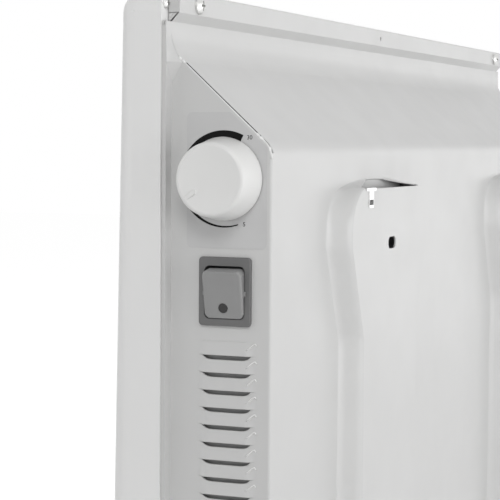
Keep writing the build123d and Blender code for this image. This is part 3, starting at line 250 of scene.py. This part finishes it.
def finish(name, colour, roughness, metallic=0.0, specular=0.5):
    """New material with plain values on its shader. Returns its tree and shader."""
    material = bpy.data.materials.new(name)
    material.use_nodes = True
    tree = material.node_tree
    shader = tree.nodes["Principled BSDF"]
    shader.inputs["Base Color"].default_value = (*colour, 1)
    shader.inputs["Roughness"].default_value = roughness
    shader.inputs["Metallic"].default_value = metallic
    shader.inputs["Specular IOR Level"].default_value = specular
    FINISHES[name] = material
    return tree, shader


def place_in(tree, stretch=(1, 1, 1)):
    """Socket with the place on the heater in metres, stretched along each axis."""
    where = tree.nodes.new("ShaderNodeTexCoord")
    mapping = tree.nodes.new("ShaderNodeMapping")
    mapping.inputs["Scale"].default_value = stretch
    tree.links.new(where.outputs["Object"], mapping.inputs["Vector"])
    return mapping.outputs[0]


def noise_in(tree, grain, detail=3.0, stretch=(1, 1, 1)):
    """Socket of noise whose lumps are about this many metres across."""
    noise = tree.nodes.new("ShaderNodeTexNoise")
    noise.inputs["Scale"].default_value = 1 / grain
    noise.inputs["Detail"].default_value = detail
    tree.links.new(place_in(tree, stretch), noise.inputs["Vector"])
    return noise.outputs["Fac"]


def spread(tree, value, low, high):
    """Socket that turns noise into a number between low and high."""
    ramp = tree.nodes.new("ShaderNodeMapRange")
    ramp.inputs["From Min"].default_value = NOISE_LOW
    ramp.inputs["From Max"].default_value = NOISE_HIGH
    ramp.inputs["To Min"].default_value = low
    ramp.inputs["To Max"].default_value = high
    tree.links.new(value, ramp.inputs["Value"])
    return ramp.outputs[0]


def two_tones(tree, value, dark, light):
    """Socket of a colour that noise moves between two close tones."""
    ramp = tree.nodes.new("ShaderNodeValToRGB")
    ramp.color_ramp.elements[0].position = NOISE_LOW
    ramp.color_ramp.elements[0].color = (*dark, 1)
    ramp.color_ramp.elements[1].position = NOISE_HIGH
    ramp.color_ramp.elements[1].color = (*light, 1)
    tree.links.new(value, ramp.inputs[0])
    return ramp.outputs[0]


def bump(tree, shader, value, height, soften=0.0):
    """Fine relief of this height in metres, over edges rounded by a radius in metres."""
    relief = tree.nodes.new("ShaderNodeBump")
    relief.inputs["Strength"].default_value = 1.0
    relief.inputs["Distance"].default_value = height
    tree.links.new(value, relief.inputs["Height"])
    if soften:
        edge = tree.nodes.new("ShaderNodeBevel")
        edge.samples = BEVEL_SAMPLES
        edge.inputs["Radius"].default_value = soften
        tree.links.new(edge.outputs[0], relief.inputs["Normal"])
    tree.links.new(relief.outputs[0], shader.inputs["Normal"])


def tone(colour, factor):
    """The same colour, lighter or darker."""
    return tuple(min(1.0, channel * factor) for channel in colour)


# %% [markdown]
# ### Powder coat
# The casing and the cover are steel sheet with a baked powder coat. It is smooth but not
# flat: under a long light it shows the slight orange peel of melted powder, a few
# millimetres from crest to crest and a few microns high. A clouded tone a few
# centimetres wide keeps the big faces from looking like plain card. Along the joints a
# lighter, glossier paint is a painted highlight, and a dark strip in the gap is painted shade.

# %% Powder coat
CLOUD_GRAIN = 0.07
PATCH_GRAIN = 0.02
PEEL_GRAIN = 0.0022
PEEL_HEIGHT = 0.000018
SHEET_EDGE = 0.0005


def powder_coat(name, colour, roughness):
    """Satin powder coat with orange peel, faint clouds and softened sheet edges."""
    tree, shader = finish(name, colour, roughness)
    clouds = noise_in(tree, CLOUD_GRAIN, 4.0)
    tree.links.new(two_tones(tree, clouds, tone(colour, 0.985), tone(colour, 1.012)),
                   shader.inputs["Base Color"])
    patches = noise_in(tree, PATCH_GRAIN, 3.0)
    tree.links.new(spread(tree, patches, roughness - 0.04, roughness + 0.05),
                   shader.inputs["Roughness"])
    peel = noise_in(tree, PEEL_GRAIN, 1.5)
    bump(tree, shader, peel, PEEL_HEIGHT, soften=SHEET_EDGE)


# The casing and the cover wear the same white coat. The casing is given the darker tone as
# painted shade, so that its end wall comes out darker than the cover's side.
powder_coat("casing_paint", (0.66, 0.66, 0.655), 0.34)
powder_coat("cover_paint", (0.88, 0.88, 0.875), 0.34)
# Light, glossy paint for the joint edges, louvre ribs and weld tacks: a painted highlight.
powder_coat("highlight_paint", (0.93, 0.93, 0.925), 0.16)
# Near-black paint for the strips in the joint gaps: painted shade.
powder_coat("gap_shade_paint", (0.06, 0.06, 0.06), 0.6)
print("painted finishes:", len(FINISHES))

# %% [markdown]
# ### Bright metal
# The screws are zinc plated and the hanger clips are polished spring steel. Both are
# mirrors with a fine lay: turned on the screws, rolled along the strip on the clips. The
# lay is noise stretched along one axis, which reads as brushing without any drawing.

# %% Bright metal
SMEAR_GRAIN = 0.004


def bright_metal(name, colour, roughness, grain, stretch, height):
    """Metal with a fine lay along the axis that is stretched least."""
    tree, shader = finish(name, colour, roughness, metallic=1.0)
    lay = noise_in(tree, grain, 4.0, stretch)
    tree.links.new(two_tones(tree, lay, tone(colour, 0.86), tone(colour, 1.06)),
                   shader.inputs["Base Color"])
    smears = noise_in(tree, SMEAR_GRAIN, 3.0)
    tree.links.new(spread(tree, smears, roughness - 0.05, roughness + 0.12),
                   shader.inputs["Roughness"])
    bump(tree, shader, lay, height)


bright_metal("screw_zinc", (0.70, 0.70, 0.69), 0.30, 0.0008, (1, 1, 1), 0.00003)
bright_metal("clip_steel", (0.78, 0.78, 0.78), 0.24, 0.0010, (0.15, 1, 1), 0.000008)
bright_metal("shaft_steel", (0.62, 0.62, 0.62), 0.32, 0.0006, (1, 0.2, 0.2), 0.00002)
bright_metal("rod_steel", (0.42, 0.38, 0.34), 0.40, 0.0030, (0.2, 1, 1), 0.00002)
bright_metal("element_alloy", (0.68, 0.69, 0.70), 0.42, 0.0012, (0.04, 1, 1), 0.00003)
bright_metal("terminal_brass", (0.78, 0.62, 0.32), 0.30, 0.0008, (1, 1, 0.3), 0.00001)

# %% [markdown]
# ### Galvanised sheet
# The plates inside are zinc-dipped and not painted. Zinc sets in flat crystals that each
# reflect a little differently. Noise would look like clouds, so cells are used here.

# %% Galvanised sheet
CRYSTALS_PER_METRE = 160
DENT_GRAIN = 0.003
DENT_HEIGHT = 0.00001


def galvanised_sheet(name, colour):
    """Zinc-dipped sheet: flat crystals a few millimetres wide, each with its own tone."""
    tree, shader = finish(name, colour, 0.42, metallic=1.0)
    crystals = tree.nodes.new("ShaderNodeTexVoronoi")
    crystals.inputs["Scale"].default_value = CRYSTALS_PER_METRE
    tree.links.new(place_in(tree), crystals.inputs["Vector"])
    split = tree.nodes.new("ShaderNodeSeparateColor")
    tree.links.new(crystals.outputs["Color"], split.inputs[0])
    tree.links.new(two_tones(tree, split.outputs[0], tone(colour, 0.78), tone(colour, 1.12)),
                   shader.inputs["Base Color"])
    tree.links.new(spread(tree, split.outputs[1], 0.34, 0.52), shader.inputs["Roughness"])
    bump(tree, shader, noise_in(tree, DENT_GRAIN, 3.0), DENT_HEIGHT)


galvanised_sheet("galvanised", (0.64, 0.65, 0.66))
print("metal finishes done:", sorted(FINISHES))

# %% [markdown]
# ### Plastic, film, ink and rubber
# The knob is a smooth white moulding, the switch a grey one from a spark-eroded tool,
# which leaves it evenly pebbled. The dial sticker is a printed film and its scale is
# black ink. They differ only in tone, gloss and the size of their grain, so one function
# makes them all.

# %% Moulded and printed finishes
MOTTLE_GRAIN = 0.012
TOUCH_GRAIN = 0.005


def moulded(name, colour, roughness, grain, height, spots=0.03, uneven=0.05, soften=0.0,
            specular=0.5):
    """Plastic, film, ink, rubber or ceramic with an even fine grain and a faint mottle."""
    tree, shader = finish(name, colour, roughness, specular=specular)
    mottle = noise_in(tree, MOTTLE_GRAIN, 4.0)
    tree.links.new(two_tones(tree, mottle, tone(colour, 1 - spots), tone(colour, 1 + spots)),
                   shader.inputs["Base Color"])
    smears = noise_in(tree, TOUCH_GRAIN, 3.0)
    tree.links.new(spread(tree, smears, roughness - uneven, roughness + uneven),
                   shader.inputs["Roughness"])
    bump(tree, shader, noise_in(tree, grain, 2.0), height, soften)


moulded("knob_white", (0.85, 0.85, 0.84), 0.34, 0.0015, 0.000003, spots=0.006, uneven=0.015,
        soften=0.0004)
moulded("label_film", (0.61, 0.61, 0.61), 0.40, 0.0006, 0.000006, spots=0.012, uneven=0.03)
moulded("dial_ink", (0.006, 0.006, 0.006), 0.6, 0.0005, 0.000008, specular=0.1)
moulded("switch_grey", (0.145, 0.145, 0.145), 0.44, 0.0004, 0.000018, soften=0.0003)
moulded("rocker_grey", (0.30, 0.30, 0.30), 0.40, 0.0004, 0.000016, soften=0.0003)
moulded("bakelite", (0.07, 0.062, 0.055), 0.30, 0.0010, 0.00001)
moulded("ceramic_white", (0.86, 0.84, 0.79), 0.55, 0.0007, 0.00003)
moulded("gland_black", (0.045, 0.045, 0.045), 0.48, 0.0005, 0.00002)
moulded("rubber_black", (0.035, 0.035, 0.035), 0.62, 0.0007, 0.00002)

# %% [markdown]
# ### Lens and lamp
# The lens in the key is a dark tinted moulding, and a small glass lamp stands behind it.
# Both let light through, so they get transmission instead of a flat tone.

# %% Lens and lamp
CLEAR_IOR = 1.49
HAZE_GRAIN = 0.0015


def clear_part(name, colour, roughness, clear):
    """Tinted clear moulding with faint haze."""
    tree, shader = finish(name, colour, roughness)
    shader.inputs["Transmission Weight"].default_value = clear
    shader.inputs["IOR"].default_value = CLEAR_IOR
    haze = noise_in(tree, HAZE_GRAIN, 3.0)
    tree.links.new(spread(tree, haze, roughness, roughness + 0.08), shader.inputs["Roughness"])
    tree.links.new(two_tones(tree, haze, tone(colour, 0.94), tone(colour, 1.04)),
                   shader.inputs["Base Color"])


clear_part("lens_tint", (0.012, 0.011, 0.011), 0.26, 0.15)
clear_part("lamp_glass", (0.85, 0.50, 0.30), 0.05, 0.85)

# %% [markdown]
# ### Lead sleeves
# The leads inside have woven sleeves that stand the heat. A wave with slanted bands gives
# the weave at its real pitch, which modelled threads would only do at a great cost.

# %% Lead sleeves
WEAVE_SCALE = 500
WEAVE_UNEVEN = 1.5
WEAVE_HEIGHT = 0.00004
WEAR_GRAIN = 0.004


def sleeve(name, colour):
    """Braided or drawn sleeve of a lead: a fine cross weave over a soft plastic."""
    tree, shader = finish(name, colour, 0.55)
    weave = tree.nodes.new("ShaderNodeTexWave")
    weave.bands_direction = "DIAGONAL"
    weave.inputs["Scale"].default_value = WEAVE_SCALE
    weave.inputs["Distortion"].default_value = WEAVE_UNEVEN
    tree.links.new(place_in(tree), weave.inputs["Vector"])
    tones = two_tones(tree, weave.outputs["Fac"], tone(colour, 0.85), tone(colour, 1.08))
    tree.links.new(tones, shader.inputs["Base Color"])
    wear = spread(tree, noise_in(tree, WEAR_GRAIN), 0.48, 0.62)
    tree.links.new(wear, shader.inputs["Roughness"])
    bump(tree, shader, weave.outputs["Fac"], WEAVE_HEIGHT)


sleeve("lead_brown", (0.26, 0.13, 0.07))
sleeve("lead_blue", (0.08, 0.18, 0.48))
sleeve("lead_green", (0.22, 0.48, 0.10))
sleeve("lead_white", (0.80, 0.79, 0.75))
print("finishes:", len(FINISHES))

# %% [markdown]
# ## Dress the solids
# The record names the finish of each solid, so a loop can hand out the materials and
# nothing is forgotten.

# %% Hand out the finishes
slot_of = {piece["node"]: piece["material_slot"] for piece in frame["record"]["subparts"]}
for name, solid in nodes.items():
    for place in solid.material_slots:
        place.material = FINISHES[slot_of[name]]
used = {slot_of[name] for name in nodes}
print("finishes on solids:", len(used), "without a solid:", sorted(set(FINISHES) - used))


# %% [markdown]
# ## Small details of the casing
# The slopes meet the end walls in a butt joint that is held by a few welds. The edge of
# the wall there and the welds get a lighter, glossier paint as a painted highlight, a dark
# strip in the gap is painted shade, and the welds are low, slightly uneven lumps. All of
# them follow the section of the casing: the flat rear panel, a wide bend and the slope. So
# that section is written down once, as a height for each depth. The half width is read
# from the sticker, which lies on the end wall.

# %% Section of the casing
SLOPE_ANGLE = radians(42.0)
SHEET = 0.8 * MM
BACK_BEND = 10.0 * MM
JOINT_TOP_DEPTH = 42.4 * MM
PANEL_Y = -0.010
BEND_Z = 127.85 * MM

half_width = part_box("dial_label")[0][0]
back_tangent = BACK_BEND * tan((pi / 2 - SLOPE_ANGLE) / 2)


def on_section(depth):
    """Height of the casing's outline at a depth in front of the rear panel."""
    bend_depth = back_tangent * cos(SLOPE_ANGLE)
    if depth >= bend_depth:
        return BEND_Z + depth * tan(SLOPE_ANGLE)
    rise = sqrt(max(0.0, BACK_BEND ** 2 - (BACK_BEND - depth) ** 2))
    return BEND_Z - back_tangent + rise


def on_casing(x, depth, end):
    """Point of the casing's outline at this X and depth, at the top (1) or bottom (-1)."""
    return Vector((x, PANEL_Y - depth, end * on_section(depth)))


print("half width:", round(half_width, 4), "bend at z", round(BEND_Z, 4))

# %% [markdown]
# ### Shared mesh helpers
# Tubes, strips and plates are all made in one way: rings of points with faces between
# them and a face at each end. The four corners of the casing are alike, so their sides
# and ends are listed once. Unions of solids could do it too, but these details only
# touch the surface and need no cutting.

# %% Shared mesh helpers
CORNERS = [(side, end) for side in (-1, 1) for end in (-1, 1)]


def new_piece(name, mesh, body, finish_name, smooth=True):
    """Object for a mesh, riding on a body, with its finish."""
    piece = bpy.data.objects.new(name, mesh)
    scene.collection.objects.link(piece)
    mesh.materials.append(FINISHES[finish_name])
    for face in mesh.polygons:
        face.use_smooth = smooth
    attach(piece, body)


def form_piece(name, form, finish_name, smooth=True):
    """Piece of the casing from a finished bmesh, which it frees."""
    mesh = bpy.data.meshes.new(name)
    bmesh.ops.recalc_face_normals(form, faces=form.faces)
    form.to_mesh(mesh)
    form.free()
    new_piece(name, mesh, "root", finish_name, smooth)
    print(name, len(mesh.polygons), "faces")


def skin(form, rings):
    """Faces between rings of vertices, and one at each end."""
    sides = len(rings[0])
    for first, second in zip(rings, rings[1:]):
        for side in range(sides):
            other = (side + 1) % sides
            form.faces.new((first[side], first[other], second[other], second[side]))
    form.faces.new(rings[0][::-1])
    form.faces.new(rings[-1])


def add_tube(form, points, radius, sides=8):
    """Closed tube with flat ends through these points, added to a bmesh."""
    rings = []
    for index, point in enumerate(points):
        before = points[max(index - 1, 0)]
        after = points[min(index + 1, len(points) - 1)]
        along = (after - before).normalized()
        across = along.cross(Vector((1, 0, 0))).normalized()
        third = along.cross(across)
        ring = []
        for side in range(sides):
            angle = 2 * pi * side / sides
            arm = across * cos(angle) + third * sin(angle)
            ring.append(form.verts.new(point + radius * arm))
        rings.append(ring)
    skin(form, rings)


# %% [markdown]
# ### Bright edges of the joints
# The edge of the end wall that stands along each joint is ground after welding, so it is
# slightly round. A light line drawn in the paint would only work from one side. A thin
# tube along the edge, half sunk in the sheet, gives that round edge, and its paint, much
# lighter and glossier than the casing's, is a painted highlight. Its points stand closer
# together in the bend.

# %% Bright edges of the joints
EDGE_RADIUS = 0.42 * MM
EDGE_SINK = 0.2 * MM
EDGE_STEPS = 26
EDGE_CROWDING = 1.5

form = bmesh.new()
for side, end in CORNERS:
    line = []
    for step in range(EDGE_STEPS + 1):
        depth = JOINT_TOP_DEPTH * (step / EDGE_STEPS) ** EDGE_CROWDING
        x = side * (half_width - SHEET / 2)
        line.append(Vector((x, PANEL_Y - depth, end * (on_section(depth) - EDGE_SINK))))
    add_tube(form, line, EDGE_RADIUS)
form_piece("joint_edges", form, "highlight_paint")

# %% [markdown]
# ### Painted shade in the joints
# The gap between the slope and the end wall is a dark line that swells and thins along
# the joint. An open gap alone looks too light, because the paint on its walls throws
# light back. So a thin dark strip of painted shade stands on the slope's side of the gap,
# widest in the middle of the joint and narrower at its ends.

# %% Painted shade in the joints
GAP_WIDTH = 2.2 * MM
SHADE_STRIP_SHEET = 0.1 * MM
SHADE_STRIP_DEPTH = 0.75 * MM
SHADE_STRIP_START = 6.0 * MM
SHADE_STRIP_DROP = 0.03 * MM
SHADE_STRIP_THINNEST = 0.35
SWELL_START, SWELL_RUN = 0.15, 0.8


def shade_strip_share(run):
    """Share of the shade strip's full depth at this part of the joint, from 0 to 1."""
    swell = sin(pi * min(1.0, SWELL_START + SWELL_RUN * run))
    return SHADE_STRIP_THINNEST + (1 - SHADE_STRIP_THINNEST) * swell


form = bmesh.new()
for side, end in CORNERS:
    face_x = side * (half_width - SHEET - GAP_WIDTH)
    inner_x = face_x + side * SHADE_STRIP_SHEET
    outward = Vector((0, sin(SLOPE_ANGLE), end * cos(SLOPE_ANGLE)))
    rings = []
    for step in range(EDGE_STEPS + 1):
        run = step / EDGE_STEPS
        depth = SHADE_STRIP_START + (JOINT_TOP_DEPTH - SHADE_STRIP_START) * run
        top = on_casing(0, depth, end) - outward * SHADE_STRIP_DROP
        low = top - outward * SHADE_STRIP_DEPTH * shade_strip_share(run)
        rings.append([
            form.verts.new(place + Vector((x, 0, 0)))
            for place, x in ((top, face_x), (top, inner_x), (low, inner_x), (low, face_x))
        ])
    skin(form, rings)
# The dark strips in the joint gaps are painted shade, not a real filler.
form_piece("gap_shade_strips", form, "gap_shade_paint", smooth=False)

# %% [markdown]
# ### Webs and guards
# The screw flange steps back from the lip of the casing, and a short web closes the end of
# that step. A smaller one closes the end of the lip's own rim. Behind the mouth of each
# wall channel a flat guard keeps the wall hook off the parts inside. A dark grey plate
# stands behind the louvres: its tone is painted shade that sets how dim the slits look,
# grey and not black. All are plain plates, so each is drawn as an outline, in millimetres
# of depth and height, and given a thickness.

# %% Webs
STEP_POINTS = ((45.0, 188.2), (50.2, 188.2), (50.2, 183.9), (48.9, 183.9))
STEP_FACE = 281.7 * MM
RIM_POINTS = ((49.1, 184.0), (52.1, 184.0), (52.1, 182.4), (49.1, 182.4))
RIM_FACE = 287.7 * MM


def add_plate(form, points, x, face_x):
    """Plate between two values of X with this outline in depth and height."""
    skin(form, [
        [form.verts.new(Vector((place, PANEL_Y - depth * MM, z * MM))) for depth, z in points]
        for place in (x, face_x)
    ])


form = bmesh.new()
for side, end in CORNERS:
    for points, face_x in ((STEP_POINTS, STEP_FACE), (RIM_POINTS, RIM_FACE)):
        outline = [(depth, end * z) for depth, z in points]
        add_plate(form, outline, side * (face_x - SHEET), side * face_x)
form_piece("flange_end_webs", form, "casing_paint", smooth=False)

# %% Hook guards
CHANNEL_X = 142.0 * MM
GUARD_HALF = 46.0 * MM
GUARD_POINTS = ((1.1, 114.0), (1.9, 114.0), (1.9, 96.0), (1.1, 96.0))

form = bmesh.new()
for side in (-1, 1):
    add_plate(form, GUARD_POINTS, side * CHANNEL_X - GUARD_HALF, side * CHANNEL_X + GUARD_HALF)
form_piece("hook_guards", form, "casing_paint", smooth=False)

# %% Plate of painted shade behind the louvres
SHADE_PLATE_GAP = 1.2 * MM
SLIT_SHADE_OUTLINE = ((6.0, 38.0), (36.0, 38.0), (36.0, -86.0), (6.0, -86.0))

shade_plate_face = half_width - SHEET - SHADE_PLATE_GAP
form = bmesh.new()
add_plate(form, SLIT_SHADE_OUTLINE, shade_plate_face - SHEET, shade_plate_face)
# The plate's dark grey tone is painted shade seen through the slits.
form_piece("slit_shade_plate", form, "rocker_grey", smooth=False)

# %% [markdown]
# ### Ribs on the louvres
# Each louvre is pressed outward, and where the sheet was stretched round its rear end it
# carries a small curved rib. A thin tube bent along that rib, half sunk in the louvre, gets
# a paint much lighter than the casing's, a painted highlight that draws the same hooked
# glint on every row.

# %% Louvre ribs
LOUVRE_ROWS = 16
LOUVRE_PITCH = 7.86 * MM
LOUVRE_TOP = 35.85 * MM
RIB_RADIUS = 0.32 * MM
RIB_POINTS = (
    (11.2, 2.7, 0.75), (9.8, 3.8, 0.50), (8.3, 5.1, 0.22), (7.2, 5.7, 0.06), (6.5, 4.7, 0.0),
)

form = bmesh.new()
for row in range(LOUVRE_ROWS):
    slit_z = LOUVRE_TOP - row * LOUVRE_PITCH
    line = [
        Vector((half_width + stand * MM, PANEL_Y - depth * MM, slit_z + rise * MM))
        for depth, rise, stand in RIB_POINTS
    ]
    add_tube(form, line, RIB_RADIUS)
form_piece("louvre_ribs", form, "highlight_paint")

# %% [markdown]
# ### Weld tacks
# Each joint is held by a tack at the rear panel, two in the bend and two by the flange.
# They take the same light, glossy paint as the edge beside them, a painted highlight for
# their glints. A squashed small sphere with a slow ripple gives a lump that isn't quite
# even, and each one differs from the next.

# %% Weld tacks
TACK_DEPTHS = (44.4, 42.7, 6.6, 5.0, 0.9)
TACK_LENGTH = 1.3 * MM
TACK_WIDTH = 0.55
TACK_HEIGHT = 0.6 * MM
RIPPLE = 0.12
RIPPLES_ALONG, RIPPLES_UP = 5, 3

form = bmesh.new()
for side, end in CORNERS:
    for index, tack_depth in enumerate(TACK_DEPTHS):
        depth = tack_depth * MM
        below = on_section(max(depth - MM, 0))
        slant = Vector((0, -MM, end * (on_section(depth) - below))).normalized()
        lump = bmesh.ops.create_icosphere(form, subdivisions=2, radius=1.0)["verts"]
        centre = on_casing(side * (half_width - SHEET / 2), depth, end)
        for vertex in lump:
            spot = vertex.co.copy()
            wave = sin(RIPPLES_ALONG * spot.y + RIPPLES_UP * spot.z + index)
            ripple = 1 + RIPPLE * wave
            vertex.co = (
                centre
                + slant * spot.y * TACK_LENGTH * ripple
                + Vector((spot.x * TACK_LENGTH * TACK_WIDTH, 0, 0))
                + slant.cross(Vector((1, 0, 0))) * spot.z * TACK_HEIGHT * ripple
            )
form_piece("weld_tacks", form, "highlight_paint")

# %% [markdown]
# ## Numbers on the dial
# The scale swells from cool to warm, and a small number stands at each of its ends. They
# are printed on the sticker, so they are real type laid on its face, as thin as ink. Plain
# numbers are used, which fit any heater of this kind.

# %% Dial numbers
NUMBER_SIZE = 2.7 * MM
INK = 0.05 * MM
NUMBERS = (
    ("warm_number", "30", 10.4 * MM, 132.6 * MM),
    ("cool_number", "5", 12.8 * MM, 94.3 * MM),
)

label_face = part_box("dial_label")[1][0]
facing_out = Matrix(((0, 0, 1), (1, 0, 0), (0, 1, 0))).to_4x4()
for name, digits, depth, height in NUMBERS:
    type_data = bpy.data.curves.new(name + "_type", "FONT")
    type_data.body = digits
    type_data.size = NUMBER_SIZE
    type_data.extrude = INK / 2
    type_data.align_x = "CENTER"
    type_data.align_y = "CENTER"
    type_object = bpy.data.objects.new(name + "_type", type_data)
    scene.collection.objects.link(type_object)
    bpy.context.view_layer.update()
    flat = bpy.data.meshes.new_from_object(type_object)
    on_label = Matrix.Translation((label_face + INK / 2, PANEL_Y - depth, height))
    flat.transform(on_label @ facing_out)
    bpy.data.objects.remove(type_object)
    new_piece(name, flat, "root", "dial_ink", smooth=False)
    print(name, digits, "faces", len(flat.polygons))
